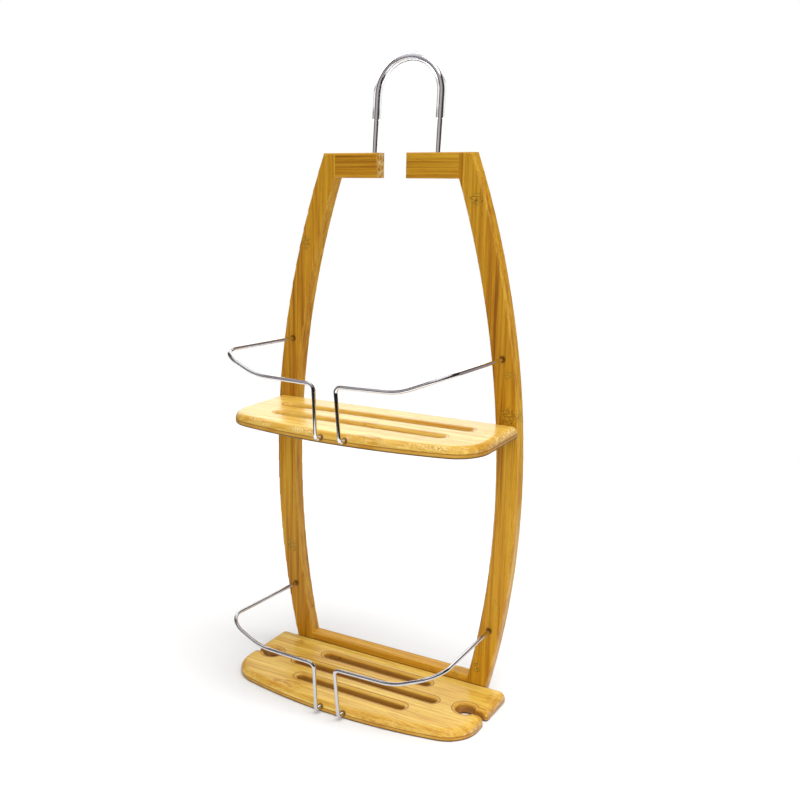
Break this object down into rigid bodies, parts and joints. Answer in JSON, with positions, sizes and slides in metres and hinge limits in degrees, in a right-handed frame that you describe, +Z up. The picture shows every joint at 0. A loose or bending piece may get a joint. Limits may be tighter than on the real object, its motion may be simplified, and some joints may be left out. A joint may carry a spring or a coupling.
{
  "type": "hanging shower caddy",
  "caption": "Bowed bamboo shower caddy with slotted shelves, chrome wire guards, razor keyholes, a gap for the shower pipe and a sleeved wire hook.",
  "frame": {"origin": "middle of the bottom of the box round the whole caddy, on the surface it stands on", "axes": "+Z up along the frame, +X to the right seen from the front, +Y towards the wall, so the shelves reach to -Y"},
  "size_m": [0.2272, 0.1212, 0.5157],
  "materials": {
    "bamboo": "clear satin lacquer over carbonised bamboo",
    "chrome_wire": "bright chrome plating",
    "clear_vinyl": "clear soft tube",
    "dowel_wood": "plain turned wood",
    "screw_steel": "stainless, plain"
  },
  "bodies": {
    "root": {"left_stile": "bamboo", "right_stile": "bamboo", "left_top_arm": "bamboo", "right_top_arm": "bamboo", "bottom_rail": "bamboo", "upper_shelf": "bamboo", "lower_shelf": "bamboo", "upper_left_guard": "chrome_wire", "upper_right_guard": "chrome_wire", "lower_left_guard": "chrome_wire", "lower_right_guard": "chrome_wire", "hanging_hook": "chrome_wire", "hook_sleeve": "clear_vinyl", "left_arm_dowels": "dowel_wood", "right_arm_dowels": "dowel_wood", "left_rail_dowel": "dowel_wood", "right_rail_dowel": "dowel_wood", "upper_left_shelf_screw": "screw_steel", "upper_right_shelf_screw": "screw_steel", "lower_left_shelf_screw": "screw_steel", "lower_right_shelf_screw": "screw_steel", "rail_screws": "screw_steel"}
  },
  "joints": []
}
